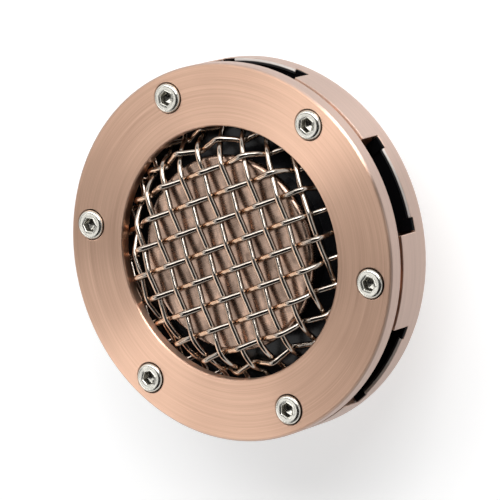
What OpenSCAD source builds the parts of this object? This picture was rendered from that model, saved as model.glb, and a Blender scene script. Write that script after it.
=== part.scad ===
// Vented screw-in fuel tank cap with a domed wire mesh front.
// It stands on the end of its neck, mesh up. Z is the axis of the cap, z = 0 is the end of the neck.

/* [Cover] */
// Outer diameter of the cover
cover_d = 90; // [88:0.5:96]
// Thickness of the front ring
ring_t = 4.15; // [3.8:0.05:5]
// Width of the flat face of the front ring, from its edge to the round window
ring_w = 14.8; // [14.5:0.1:15]
// Chamfer round the outer edge of the front face
face_chamfer = 0.5; // [0.2:0.1:0.8]
// Small chamfer on the other edges of the front ring
edge_chamfer = 0.3; // [0.1:0.05:0.4]
// Open joint between the front ring and the lands of the housing
joint_gap = 1; // [0.6:0.1:1.4]
// Height of the closed band at the back of the housing
band_h = 5; // [4.5:0.1:6]
// Height of the lands above that band
land_h = 6.35; // [5.5:0.05:8]
// Angle that one land spans
land_deg = 29; // [26:1:32]
// Number of lands, slots and ring screws
land_count = 6; // [5:1:7]
// Angle of the first land and its screw
first_land_deg = 36; // [0:1:60]
// Radial thickness of the lands
land_wall = 10.4; // [10:0.1:10.6]
// Radius of the rear outer edge
rear_edge_r = 1.8; // [0.8:0.1:2]
// Thickness of the housing floor
floor_t = 2.5; // [2.2:0.1:3]
// Radial width of the ledge at the bottom of each slot
ledge_w = 1.2; // [1:0.1:1.4]
// Height of the ledge above the band
ledge_rise = 0.8; // [0.5:0.1:1.2]
// Angle of the low end of a slot beside each land
slot_end_deg = 4.5; // [3:0.5:5.5]

/* [Ring screws] */
// Distance of the ring screws from the edge of the cover
screw_inset = 5.65; // [5.5:0.05:5.9]
// Thread diameter of the ring screws
screw_d = 4; // [3:0.5:4]
// Head diameter
screw_head_d = 7; // [6.4:0.1:7.2]
// Head height
screw_head_h = 3; // [2.8:0.1:3.2]
// Length under the head
screw_len = 10; // [7:0.5:10]
// Hexagon socket, across flats
socket_af = 3; // [2:0.25:3.25]
// Depth of the hexagon socket
socket_depth = 2; // [1.2:0.1:2.2]
// Depth of the counterbores in the front ring
counterbore_h = 2.6; // [2.2:0.1:2.8]
// Radius of the raised seat round each screw
pad_r = 4.5; // [4:0.1:4.7]

/* [Wire mesh] */
// Wire diameter
wire_d = 1.4; // [1.2:0.05:1.45]
// Share of the crimp that the wires along X take. The wires along Y have the rest.
crimp_share = 0.75; // [0.6:0.01:0.8]
// Pitch of the weave
mesh_pitch = 5.95; // [5.8:0.05:6.6]
// Turn of the weave about the cap axis
mesh_turn = 3; // [0:1:10]
// Place of one crossing of the weave
mesh_start = [1.9, 2]; // [0:0.1:3]
// Gap between the centre disc and the underside of the mesh
mesh_lift = 0.05; // [0.05:0.05:0.4]
// Distance of the flat middle from the edge of the window
mesh_slope_w = 9.4; // [9.2:0.1:10.2]
// Bend radius where the flat middle turns down
crown_r = 8; // [7.6:0.1:8.2]
// Bend radius where the wall turns out into the rim
foot_r = 3; // [2.8:0.1:3.1]
// Steepest slope of the pressed wall
wall_deg = 60; // [58:1:60]
// Depth of the rebate that holds the rim of the mesh
rebate_h = 1; // [0.8:0.1:1.2]
// Width of that rebate
rebate_w = 4.1; // [3.8:0.1:4.2]

/* [Centre disc] */
// Distance of the centre disc from the edge of the window
disc_inset = 6.9; // [6.7:0.1:8]
// Thickness of the centre disc
disc_t = 1.8; // [1.6:0.1:2.2]
// Radius of its upper edge
disc_edge_r = 1; // [0.5:0.1:1.3]
// Diameter of its threaded stud
stud_d = 5; // [4:0.5:5]
// Height of the nut on the stud
nut_h = 2.7; // [2:0.1:3]
// Nut, across flats
nut_af = 8; // [7:0.5:9]
// Thickness of the washer under the nut
washer_t = 0.8; // [0.5:0.1:1]
// Diameter of that washer
washer_d = 11; // [10:0.5:13]

/* [Liner] */
// Radial thickness of the wall that carries the rim of the mesh
liner_wall = 2.7; // [2.2:0.1:3]
// Distance of that wall from the rebate for the mesh
liner_wall_inset = 0.7; // [0.4:0.1:0.9]
// How far the centre disc overhangs its hollow pedestal
disc_overhang = 3.3; // [2.8:0.1:3.6]
// Thickness of the top of the pedestal
pedestal_top_t = 1.8; // [1.6:0.1:2.2]
// Radius of the breather holes in the pedestal
breather_r = 1.5; // [1:0.1:1.6]
// Height of the breather windows in the outer wall
breather_h = 3; // [2:0.1:3.2]
// Angle that one breather window spans
breather_deg = 16; // [10:1:20]

/* [Neck] */
// Length of the neck below the housing
neck_h = 18; // [17.6:0.1:19]
// Outer diameter of the neck at the root of its thread
neck_d = 43.8; // [43:0.1:44.5]
// Wall of the neck at its open end
neck_wall = 3.5; // [3:0.1:3.8]
// Pitch of the neck thread
thread_pitch = 4; // [3.5:0.1:4.2]
// Turns of the neck thread
thread_turns = 1.75; // [1:0.25:1.75]
// Height of the thread ridge
thread_rise = 1.3; // [0.8:0.1:1.5]
// Length of the plain pilot at the end of the neck
pilot_h = 2.5; // [1.8:0.1:2.7]
// How far the pilot stands back from the neck
pilot_step = 0.5; // [0.3:0.1:0.8]
// Diameter of the neck flange
flange_d = 61; // [60:0.5:66]
// Thickness of the neck flange
flange_t = 2.4; // [2.2:0.1:2.8]
// Thickness of the rubber gasket
gasket_t = 2.2; // [1.8:0.1:2.4]
// Outer diameter of the rubber gasket
gasket_d = 59.4; // [58.8:0.1:59.8]
// Diameter of the spigot that centres the neck in the housing
spigot_d = 48; // [46:0.5:48]
// Cross-section diameter of the spigot seal ring
seal_ring_d = 1.5; // [1.2:0.1:1.6]
// Number of screws that hold the neck
neck_screw_count = 4; // [3:1:6]
// Pitch circle of the neck screws
neck_screw_pcd = 54.4; // [54:0.1:55]
// Thread diameter of the neck screws
neck_screw_d = 3; // [2:0.5:3]
// Head diameter of the neck screws
neck_head_d = 5; // [4.4:0.1:5]
// Head height of the neck screws
neck_head_h = 1.6; // [1.2:0.1:1.7]
// Thickness of the splash baffle
baffle_t = 1.5; // [1.2:0.1:1.8]
// Radius of the holes in the splash baffle
baffle_hole_r = 1.6; // [1:0.1:1.8]

/* [Vent valve] */
// Radius of the vent port in the neck
port_r = 7.5; // [7:0.1:7.8]
// Depth of the underside of the port wall below the back of the housing
port_depth = 9; // [8.7:0.1:9.4]
// Thickness of the port wall
port_wall_t = 2; // [1.6:0.1:2.2]
// Height of the seat lip on the port wall
seat_h = 0.6; // [0.4:0.1:0.7]
// Radius of the relief plate
plate_r = 11; // [10.6:0.1:12]
// Thickness of the relief plate
plate_t = 1; // [0.8:0.1:1.2]
// Thickness of the rubber seal under the relief plate
plate_seal_t = 1.2; // [1.1:0.05:1.4]
// Height of the guide boss on the relief plate
guide_h = 4.4; // [3.8:0.1:4.6]
// Radius of the head of the vacuum poppet
poppet_head_r = 6.2; // [6:0.1:6.3]
// Radius of the stem of the vacuum poppet
stem_r = 1.5; // [1.2:0.1:1.6]
// Height of the vacuum spring as fitted
vacuum_spring_h = 2.4; // [2.3:0.1:2.6]
// Wire diameter of the vacuum spring
vacuum_wire_d = 0.5; // [0.4:0.05:0.5]
// Wire diameter of the relief spring
relief_wire_d = 1; // [0.8:0.05:1]
// Mean radius of the relief spring
relief_coil_r = 8; // [7.5:0.1:8.2]
// Thickness of the spring bridge
bridge_t = 1.5; // [1.3:0.1:1.8]

/* [Hidden] */

// Clearances between pieces
screw_gap = 0.05;
slip_gap = 0.1;
liner_gap = 0.2;
head_gap = 0.25;
face_gap = 0.05;
weave_gap = 0.1;
press_gap = 0.02;
cut = 1;

// Heights of the faces along the cap axis
rear_z = neck_h;
floor_z = rear_z + floor_t;
band_z = rear_z + band_h;
ledge_z = band_z + ledge_rise;
land_z = band_z + land_h;
ring_z = land_z + joint_gap;
face_z = ring_z + ring_t;
rebate_z = ring_z + rebate_h;

// Radii and angles of the cover
cover_r = cover_d / 2;
window_r = cover_r - ring_w;
rebate_r = window_r + rebate_w;
mesh_flat_r = window_r - mesh_slope_w;
land_r = cover_r - land_wall;
pocket_r = cover_r - ledge_w;
pitch_r = cover_r - screw_inset;
land_step = 360 / land_count;
slot_deg = land_step - land_deg;
hole_r = screw_d / 2 + screw_gap;
hole_floor = 0.8;
seat_z = face_z - counterbore_h;
screw_edge_r = 0.6;
socket_lead_in = 0.4;
screw_turn_deg = 17;

// The weave: how far the wires bend off its middle each way, and the run of the pressed profile
wire_r = wire_d / 2;
crimp_x = crimp_share * (wire_d + weave_gap);
crimp_y = wire_d + weave_gap - crimp_x;
half_mesh = max(crimp_x, crimp_y) + wire_r;
rim_inset = 0.75;
mesh_top_z = face_z + mesh_lift + half_mesh;
rim_z = rebate_z - face_gap - half_mesh;
mesh_drop = mesh_top_z - rim_z;
wall_len = (mesh_drop - (crown_r + foot_r) * (1 - cos(wall_deg))) / sin(wall_deg);
crown_run = crown_r * wall_deg * PI / 180;
foot_run = foot_r * wall_deg * PI / 180;
foot_start_r = mesh_flat_r + crown_r * sin(wall_deg) + wall_len * cos(wall_deg);
rim_start_r = foot_start_r + foot_r * sin(wall_deg);
rim_end_r = rebate_r - rim_inset;
run_1 = mesh_flat_r;
run_2 = run_1 + crown_run;
run_3 = run_2 + wall_len;
run_4 = run_3 + foot_run;
run_5 = run_4 + rim_end_r - rim_start_r;
wire_sides = 6;
steps_per_pitch = 4;
wires_each_side = ceil(run_5 / mesh_pitch);
shortest_wire = 3;

// Liner
liner_top_z = rim_z - half_mesh - face_gap;
disc_z = face_z - disc_t;
liner_wall_r = rebate_r - liner_wall_inset;
disc_r = window_r - disc_inset;
pedestal_r = disc_r - disc_overhang;
pedestal_wall = 3;
bore_r = pedestal_r - pedestal_wall;
breather_rise = 0.6;
foot_len = 2.2;
foot_inset = 0.15;
foot_root = 0.7;
lobe_side_deg = 0.3;
foot_side_deg = 0.1;
hole_end_gap = 0.1;
stud_tip = 0.4;
washer_z = disc_z - pedestal_top_t - washer_t;
nut_z = washer_z - nut_h;

// Neck
neck_r = neck_d / 2;
pilot_r = neck_r - pilot_step;
flange_r = flange_d / 2;
flange_z = rear_z - flange_t;
gasket_z = flange_z - gasket_t;
neck_bore_r = neck_r - neck_wall;
mouth_step = 1;
mouth_r = neck_bore_r + mouth_step;
chamber_step = 0.8;
chamber_r = bore_r - chamber_step;
spigot_r = spigot_d / 2;
housing_bore_r = spigot_r + slip_gap;
neck_pitch_r = neck_screw_pcd / 2;
neck_hole_r = neck_screw_d / 2 + screw_gap;
neck_screw_bite = 1.9;
neck_tip_z = floor_z + neck_screw_bite;
neck_screw_turn = 45;
neck_socket_depth = 1.1;
gasket_edge = 0.5;
gasket_bore_r = neck_r + thread_rise + 2 * slip_gap;
groove_w = seal_ring_d + 2 * slip_gap;
groove_z = rear_z + floor_t / 2;
thread_start_z = 4;
thread_base_w = 2.2;
thread_crest_w = 1;
thread_root = 0.6;
segments_per_turn = 36;
baffle_z = 1.5;
baffle_rows = 2;
holes_per_row = 6;

// Vent valve
port_z = rear_z - port_depth;
lip_w = 1.5;
seat_z_top = port_z + port_wall_t + seat_h;
plate_z = seat_z_top + plate_seal_t;
plate_top_z = plate_z + plate_t;
guide_top_z = plate_top_z + guide_h;
clip_z = guide_top_z + vacuum_spring_h;
clip_t = 0.6;
clip_r = 3;
guide_r = 3.1;
stem_tip = 0.3;
stem_top_z = clip_z + clip_t + stem_tip;
poppet_head_t = 0.9;
air_hole_r = 0.8;
air_hole_count = 6;
bridge_lift = 1.5;
bridge_z = floor_z + bridge_lift;
bridge_lip = 0.9;
bridge_r = bore_r + bridge_lip;
bridge_top_z = bridge_z + bridge_t;
bridge_eye_gap = 1.4;
bridge_hole_r = 2;
vacuum_coil_r = stem_r + 2 * slip_gap + vacuum_wire_d / 2;
vacuum_turns = 3;
vacuum_flat_turns = 0.3;
vacuum_segments = 14;
relief_turns = 4.5;
relief_flat_turns = 0.4;
relief_segments = 18;

$fn = 96;

function land_angle(i) = first_land_deg + i * land_step;
function slot_angle(i) = land_angle(i) + land_step / 2;

module at_lands() {
    for (i = [0 : land_count - 1]) rotate([0, 0, land_angle(i)]) children();
}

module at_slots() {
    for (i = [0 : land_count - 1]) rotate([0, 0, slot_angle(i)]) children();
}

module ring_of(count, radius, start = 0) {
    for (i = [0 : count - 1]) rotate([0, 0, start + i * 360 / count]) translate([radius, 0, 0]) children();
}

module at_neck_screws() {
    ring_of(neck_screw_count, neck_pitch_r, neck_screw_turn) children();
}

// Flat-ended ring between two radii
module tube(r_in, r_out, z0, z1) {
    rotate_extrude() translate([r_in, z0]) square([r_out - r_in, z1 - z0]);
}

// Part of such a ring, centred on the X axis
module sector(r_in, r_out, z0, z1, deg) {
    rotate_extrude(start = -deg / 2, angle = deg) translate([r_in, z0]) square([r_out - r_in, z1 - z0]);
}

// Sweep of a closed outline along a path. Each outline point is [sideways, upwards] from the path.
function unit(v) = v / norm(v);
function path_dir(p, i) = unit(p[min(i + 1, len(p) - 1)] - p[max(i - 1, 0)]);
function side_dir(t) = unit(cross(t, [0, 0, 1]));
function sweep_points(p, outline) = [
    for (i = [0 : len(p) - 1])
        let (t = path_dir(p, i), s = side_dir(t), u = cross(s, t))
            for (q = outline) p[i] + q[0] * s + q[1] * u
];
function sweep_faces(rows, n) = concat(
    [[for (k = [n - 1 : -1 : 0]) k]],
    [for (i = [0 : rows - 2], k = [0 : n - 1])
        [i * n + k, i * n + (k + 1) % n, (i + 1) * n + (k + 1) % n, (i + 1) * n + k]],
    [[for (k = [0 : n - 1]) (rows - 1) * n + k]]
);
function round_outline(r, n) = [for (k = [0 : n - 1]) r * [cos(k * 360 / n), sin(k * 360 / n)]];

module sweep(p, outline) {
    polyhedron(sweep_points(p, outline), sweep_faces(len(p), len(outline)), convexity = 10);
}

// The pressed mesh profile: radius, drop below the flat middle and slope, at a run along the sheet
function run_radius(s) =
    s < run_1 ? s
    : s < run_2 ? mesh_flat_r + crown_r * sin((s - run_1) / crown_r * 180 / PI)
    : s < run_3 ? mesh_flat_r + crown_r * sin(wall_deg) + (s - run_2) * cos(wall_deg)
    : s < run_4 ? rim_start_r - foot_r * sin((run_4 - s) / foot_r * 180 / PI)
    : rim_start_r + s - run_4;
function run_drop(s) =
    s < run_1 ? 0
    : s < run_2 ? crown_r * (1 - cos((s - run_1) / crown_r * 180 / PI))
    : s < run_3 ? crown_r * (1 - cos(wall_deg)) + (s - run_2) * sin(wall_deg)
    : s < run_4 ? mesh_drop - foot_r * (1 - cos((run_4 - s) / foot_r * 180 / PI))
    : mesh_drop;
function run_slope(s) =
    s < run_1 ? 0
    : s < run_2 ? (s - run_1) / crown_r * 180 / PI
    : s < run_3 ? wall_deg
    : s < run_4 ? (run_4 - s) / foot_r * 180 / PI
    : 0;

// A point of the flat sheet, carried onto the pressed shape and lifted off it by a height
function pressed(q, lift) =
    let (s = norm(q), dir = s > 0 ? q / s : [1, 0], r = run_radius(s), a = run_slope(s),
         rr = r + lift * sin(a))
    [dir[0] * rr, dir[1] * rr, mesh_top_z - run_drop(s) + lift * cos(a)];

// Lattice of the weave: wires lie at these distances from the axis
function lattice(k, start) = start + k * mesh_pitch;
function half_chord(d) = sqrt(max(run_5 * run_5 - d * d, 0));

// Bend of a wire over and under the wires that cross it: a cosine with its flanks drawn straighter
function crimp_wave(a) = 0.9 * (cos(a) + cos(3 * a) / 9);

// One wire. Along is true for the wires that run along X. Crossings alternate over and under.
function wire_path(k, along) =
    let (own = lattice(k, along ? mesh_start[1] : mesh_start[0]),
         other = along ? mesh_start[0] : mesh_start[1],
         reach = half_chord(own),
         step = mesh_pitch / steps_per_pitch,
         first = ceil((-reach - other) / step),
         last = floor((reach - other) / step),
         bend = (k % 2 == 0 ? 1 : -1) * (along ? -crimp_x : crimp_y))
    [for (m = [first : last])
        let (t = other + m * step, lift = bend * crimp_wave(m * 180 / steps_per_pitch))
            pressed(along ? [t, own] : [own, t], lift)];

module mesh_grille() {
    color([0.42, 0.38, 0.35])
        rotate([0, 0, mesh_turn])
            for (along = [true, false], k = [-wires_each_side : wires_each_side]) {
                reach = half_chord(lattice(k, along ? mesh_start[1] : mesh_start[0]));
                if (reach > shortest_wire)
                    sweep(wire_path(k, along), round_outline(wire_r, wire_sides));
            }
}

module front_ring() {
    color([0.80, 0.60, 0.50])
        difference() {
            rotate_extrude()
                polygon([
                    [window_r + edge_chamfer, ring_z],
                    [cover_r - edge_chamfer, ring_z],
                    [cover_r, ring_z + edge_chamfer],
                    [cover_r, face_z - face_chamfer],
                    [cover_r - face_chamfer, face_z],
                    [window_r + edge_chamfer, face_z],
                    [window_r, face_z - edge_chamfer],
                    [window_r, ring_z + edge_chamfer]
                ]);
            // Rebate for the rim of the mesh, with an eased inner corner
            rotate_extrude()
                polygon([
                    [window_r - cut, rebate_z + edge_chamfer + cut],
                    [window_r - cut, ring_z - cut],
                    [rebate_r, ring_z - cut],
                    [rebate_r, rebate_z],
                    [window_r + edge_chamfer * 2, rebate_z],
                    [window_r, rebate_z + edge_chamfer * 2]
                ]);
            at_lands() translate([pitch_r, 0, 0]) {
                translate([0, 0, ring_z - cut]) cylinder(r = hole_r, h = ring_t + 2 * cut);
                translate([0, 0, seat_z]) cylinder(r = screw_head_d / 2 + head_gap, h = counterbore_h + cut);
            }
        }
}

// Socket head screw, seated at z = 0 with its shank below
module socket_screw() {
    head_r = screw_head_d / 2;
    lead_r = socket_af / 2;
    difference() {
        union() {
            rotate_extrude() {
                difference() {
                    square([head_r, screw_head_h]);
                    translate([head_r - screw_edge_r, screw_head_h - screw_edge_r]) difference() {
                        square([screw_edge_r + cut, screw_edge_r + cut]);
                        circle(r = screw_edge_r, $fn = 64);
                    }
                }
            }
            translate([0, 0, -screw_len]) cylinder(r = screw_d / 2, h = screw_len + face_gap);
        }
        translate([0, 0, screw_head_h - socket_depth])
            cylinder(r = socket_af / sqrt(3), h = socket_depth + cut, $fn = 6);
        // Round lead-in of the socket
        translate([0, 0, screw_head_h - socket_lead_in])
            cylinder(r1 = lead_r, r2 = lead_r + 2 * socket_lead_in, h = 2 * socket_lead_in);
    }
}

module ring_screws() {
    color([0.78, 0.77, 0.74])
        for (i = [0 : land_count - 1])
            rotate([0, 0, land_angle(i)]) translate([pitch_r, 0, seat_z])
                rotate([0, 0, i * screw_turn_deg]) socket_screw();
}

module centre_disc() {
    color([0.72, 0.52, 0.43]) {
        rotate_extrude() {
            difference() {
                translate([0, disc_z]) square([disc_r, disc_t]);
                translate([disc_r - disc_edge_r, face_z - disc_edge_r]) difference() {
                    square([disc_edge_r + cut, disc_edge_r + cut]);
                    circle(r = disc_edge_r, $fn = 64);
                }
            }
        }
        translate([0, 0, nut_z - stud_tip])
            cylinder(r = stud_d / 2, h = disc_z + disc_t / 2 - nut_z + stud_tip);
    }
}

module disc_washer() {
    color([0.75, 0.75, 0.73])
        tube(stud_d / 2 + screw_gap, washer_d / 2, washer_z, washer_z + washer_t);
}

module disc_nut() {
    color([0.75, 0.75, 0.73])
        translate([0, 0, nut_z]) difference() {
            intersection() {
                cylinder(r = nut_af / sqrt(3), h = nut_h, $fn = 6);
                cylinder(r1 = nut_af / 2, r2 = nut_af / 2 + nut_h * 2, h = nut_h);
            }
            translate([0, 0, -cut]) cylinder(r = stud_d / 2 + screw_gap, h = nut_h + 2 * cut);
        }
}

// Foot on top of a lobe, rooted in it and reaching out over the low end of the slot
module liner_foot(deg) {
    rotate_extrude(start = -deg / 2, angle = deg)
        polygon([
            [pocket_r - foot_len, band_z - foot_root],
            [pocket_r - 2 * liner_gap, band_z - foot_root],
            [pocket_r - 2 * liner_gap, band_z + face_gap],
            [cover_r - foot_inset, band_z + face_gap],
            [cover_r - foot_inset, ledge_z - face_gap],
            [pocket_r - foot_len, ledge_z - face_gap]
        ]);
}

module liner() {
    notch_deg = land_deg + 2 * lobe_side_deg;
    foot_deg = slot_end_deg - 2 * lobe_side_deg;
    foot_mid_deg = (slot_deg - slot_end_deg) / 2;
    color([0.03, 0.03, 0.035])
        difference() {
            union() {
                // Floor, notched for the lands. Its lobes fill the low part of the slots.
                difference() {
                    tube(bridge_r + slip_gap, pocket_r - liner_gap, floor_z, band_z);
                    at_lands() sector(land_r - liner_gap, pocket_r + cut, floor_z - cut, band_z + cut, notch_deg);
                }
                // Feet that lie on the low ends of the slots, beside the lands
                at_slots() for (end = [-1, 1]) rotate([0, 0, end * (foot_mid_deg - foot_side_deg)])
                    liner_foot(foot_deg);
                tube(liner_wall_r - liner_wall, liner_wall_r, band_z - cut, liner_top_z);
                // Pedestal of the centre disc
                rotate_extrude()
                    polygon([
                        [bridge_r + slip_gap, floor_z + cut],
                        [pedestal_r, floor_z + cut],
                        [pedestal_r, disc_z],
                        [stud_d / 2 + slip_gap, disc_z],
                        [stud_d / 2 + slip_gap, disc_z - pedestal_top_t],
                        [bore_r, disc_z - pedestal_top_t],
                        [bore_r, bridge_top_z + face_gap],
                        [bridge_r + slip_gap, bridge_top_z + face_gap]
                    ]);
            }
            // Breather windows in the outer wall and breather holes in the pedestal
            at_slots() translate([0, 0, band_z + breather_rise])
                sector(liner_wall_r - liner_wall - cut, liner_wall_r + cut, 0, breather_h, breather_deg);
            ring_of(land_count, 0, first_land_deg)
                translate([0, 0, band_z + breather_h]) rotate([0, 90, 0])
                    cylinder(r = breather_r, h = pedestal_r + cut);
            // Blind holes for the neck screws
            at_neck_screws()
                translate([0, 0, floor_z - cut]) cylinder(r = neck_hole_r, h = neck_screw_bite + hole_end_gap + cut);
        }
}

// One slot between two lands, as the shape cut away. Its ledge stands between two lower ends.
module slot_cut() {
    rotate_extrude(start = -slot_deg / 2, angle = slot_deg)
        polygon([
            [land_r - cut, floor_z], [pocket_r, floor_z], [pocket_r, ledge_z], [cover_r + cut, ledge_z],
            [cover_r + cut, land_z + cut], [land_r - cut, land_z + cut]
        ]);
    for (end_start = [-slot_deg / 2, slot_deg / 2 - slot_end_deg])
        rotate_extrude(start = end_start, angle = slot_end_deg)
            polygon([
                [pocket_r - cut, band_z], [cover_r + cut, band_z],
                [cover_r + cut, ledge_z + cut], [pocket_r - cut, ledge_z + cut]
            ]);
}

module rear_housing() {
    color([0.80, 0.60, 0.50])
        difference() {
            union() {
                // Floor, then the wall that the slots divide into lands, with its rounded rear edge
                rotate_extrude() {
                    difference() {
                        polygon([
                            [housing_bore_r, rear_z], [cover_r, rear_z], [cover_r, land_z],
                            [land_r, land_z], [land_r, floor_z], [housing_bore_r, floor_z]
                        ]);
                        translate([cover_r - rear_edge_r, rear_z + rear_edge_r]) difference() {
                            translate([0, -rear_edge_r - cut]) square([rear_edge_r + cut, rear_edge_r + cut]);
                            circle(r = rear_edge_r, $fn = 64);
                        }
                    }
                }
                at_lands() translate([pitch_r, 0, land_z - cut]) cylinder(r = pad_r, h = joint_gap + cut);
            }
            at_slots() slot_cut();
            // Tapped holes for the ring screws
            at_lands() translate([pitch_r, 0, seat_z - screw_len - hole_floor])
                cylinder(r = hole_r, h = screw_len + cut);
            at_neck_screws()
                translate([0, 0, rear_z - cut]) cylinder(r = neck_hole_r, h = floor_t + 2 * cut);
        }
}

// Helical ridge of the neck thread, faded in and out at its ends
module thread_ridge() {
    rows = round(thread_turns * segments_per_turn);
    base = neck_r - thread_root;
    rise = thread_root + thread_rise;
    path = [for (i = [0 : rows])
        let (a = i * 360 / segments_per_turn)
            [base * cos(a), base * sin(a), thread_start_z + thread_pitch * i / segments_per_turn]];
    outline = [[0, -thread_base_w / 2], [rise, -thread_crest_w / 2], [rise, thread_crest_w / 2],
               [0, thread_base_w / 2]];
    sweep(path, outline);
}

module neck_plug() {
    color([0.05, 0.05, 0.055])
        difference() {
            union() {
                // Pilot, neck, flange and spigot
                rotate_extrude()
                    polygon([
                        [0, 0], [pilot_r, 0], [pilot_r, pilot_h], [neck_r, pilot_h],
                        [neck_r, flange_z], [flange_r, flange_z], [flange_r, rear_z],
                        [spigot_r, rear_z], [spigot_r, floor_z], [0, floor_z]
                    ]);
                thread_ridge();
            }
            // Mouth with the step that the baffle is pressed against, then the bore up to the port wall
            translate([0, 0, -cut]) cylinder(r = mouth_r, h = baffle_z + baffle_t + cut);
            translate([0, 0, baffle_z]) cylinder(r = neck_bore_r, h = port_z - baffle_z);
            // Vent port, and the chamber above it with its raised seat lip
            translate([0, 0, port_z - cut]) cylinder(r = port_r, h = port_wall_t + seat_h + 2 * cut);
            tube(port_r + lip_w, chamber_r, port_z + port_wall_t, floor_z + cut);
            translate([0, 0, seat_z_top]) cylinder(r = port_r + lip_w + cut, h = floor_z - seat_z_top + cut);
            // Groove of the spigot seal
            tube(spigot_r - seal_ring_d + slip_gap, spigot_r + cut, groove_z - groove_w / 2, groove_z + groove_w / 2);
            at_neck_screws() {
                translate([0, 0, flange_z - cut]) cylinder(r = neck_hole_r, h = flange_t + 2 * cut);
                translate([0, 0, flange_z - cut]) cylinder(r = neck_head_d / 2 + slip_gap, h = neck_head_h + cut);
            }
        }
}

module neck_screws() {
    color([0.7, 0.7, 0.68])
        at_neck_screws()
            difference() {
                union() {
                    translate([0, 0, flange_z + face_gap])
                        cylinder(r = neck_head_d / 2, h = neck_head_h - face_gap);
                    translate([0, 0, flange_z + neck_head_h / 2])
                        cylinder(r = neck_screw_d / 2, h = neck_tip_z - flange_z - neck_head_h / 2);
                }
                translate([0, 0, flange_z - cut])
                    cylinder(r = neck_screw_d / 3, h = neck_socket_depth + cut, $fn = 6);
            }
}

module neck_gasket() {
    color([0.08, 0.08, 0.08])
        rotate_extrude()
            polygon([
                [gasket_bore_r, gasket_z],
                [gasket_d / 2 - gasket_edge, gasket_z],
                [gasket_d / 2, gasket_z + gasket_edge],
                [gasket_d / 2, flange_z],
                [gasket_bore_r, flange_z]
            ]);
}

module spigot_seal() {
    color([0.1, 0.1, 0.1])
        rotate_extrude() translate([spigot_r + slip_gap - seal_ring_d / 2, groove_z])
            circle(r = seal_ring_d / 2 - press_gap, $fn = 64);
}

module splash_baffle() {
    color([0.12, 0.12, 0.12])
        difference() {
            tube(0, mouth_r - face_gap, baffle_z, baffle_z + baffle_t);
            translate([0, 0, -cut]) {
                for (row = [1 : baffle_rows])
                    ring_of(holes_per_row * row, mouth_r * row / (baffle_rows + 1))
                        cylinder(r = baffle_hole_r, h = baffle_z + baffle_t + 2 * cut);
                cylinder(r = baffle_hole_r, h = baffle_z + baffle_t + 2 * cut);
            }
        }
}

module relief_seal() {
    color([0.1, 0.1, 0.1])
        tube(poppet_head_r + 4 * slip_gap, port_r + lip_w + cut, seat_z_top, plate_z);
}

module relief_plate() {
    color([0.76, 0.66, 0.40])
        difference() {
            union() {
                tube(0, plate_r, plate_z, plate_top_z);
                tube(0, guide_r, plate_top_z - plate_t / 2, guide_top_z);
            }
            translate([0, 0, plate_z - cut]) cylinder(r = stem_r + screw_gap, h = guide_top_z - plate_z + 2 * cut);
            ring_of(air_hole_count, (guide_r + poppet_head_r) / 2) translate([0, 0, plate_z - cut])
                cylinder(r = air_hole_r, h = plate_t + 2 * cut);
        }
}

module vacuum_poppet() {
    color([0.18, 0.16, 0.15]) translate([0, 0, plate_z - poppet_head_t]) {
        cylinder(r = poppet_head_r, h = poppet_head_t - press_gap);
        cylinder(r = stem_r, h = stem_top_z - plate_z + poppet_head_t);
    }
}

module poppet_clip() {
    color([0.7, 0.7, 0.68]) tube(stem_r + press_gap, clip_r, clip_z, clip_z + clip_t);
}

// Compression spring on a round helix, its end coils closed down over part of a turn
module coil_spring(coil_r, wire_dia, z0, z1, turns, flat_turns, per_turn) {
    rows = round(turns * per_turn);
    low = z0 + wire_dia / 2;
    high = z1 - wire_dia / 2;
    path = [for (i = [0 : rows])
        let (t = i / per_turn, f = (t - flat_turns) / (turns - 2 * flat_turns))
            [coil_r * cos(360 * t), coil_r * sin(360 * t), low + (high - low) * min(max(f, 0), 1)]];
    sweep(path, round_outline(wire_dia / 2, wire_sides));
}

module vacuum_spring() {
    color([0.7, 0.7, 0.68])
        coil_spring(vacuum_coil_r, vacuum_wire_d, guide_top_z, clip_z, vacuum_turns, vacuum_flat_turns,
                    vacuum_segments);
}

module relief_spring() {
    color([0.7, 0.7, 0.68])
        coil_spring(relief_coil_r, relief_wire_d, plate_top_z, bridge_z, relief_turns, relief_flat_turns,
                    relief_segments);
}

module spring_bridge() {
    hole_ring_r = (relief_coil_r + relief_wire_d + bridge_r) / 2;
    color([0.25, 0.25, 0.25])
        difference() {
            union() {
                tube(clip_r + bridge_eye_gap, bridge_r, bridge_z, bridge_top_z);
                tube(chamber_r + slip_gap, bridge_r, floor_z, bridge_z + bridge_t / 2);
            }
            ring_of(air_hole_count, hole_ring_r) translate([0, 0, bridge_z - cut])
                cylinder(r = bridge_hole_r, h = bridge_t + 2 * cut);
        }
}

front_ring();
ring_screws();
mesh_grille();
centre_disc();
disc_nut();
disc_washer();
liner();
rear_housing();
neck_plug();
neck_screws();
neck_gasket();
spigot_seal();
splash_baffle();
relief_plate();
relief_seal();
relief_spring();
spring_bridge();
vacuum_poppet();
vacuum_spring();
poppet_clip();
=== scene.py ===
import math

import bpy
import numpy as np
from bpy.props import FloatProperty, FloatVectorProperty, IntProperty, PointerProperty
from mathutils import Matrix, Vector


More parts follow.
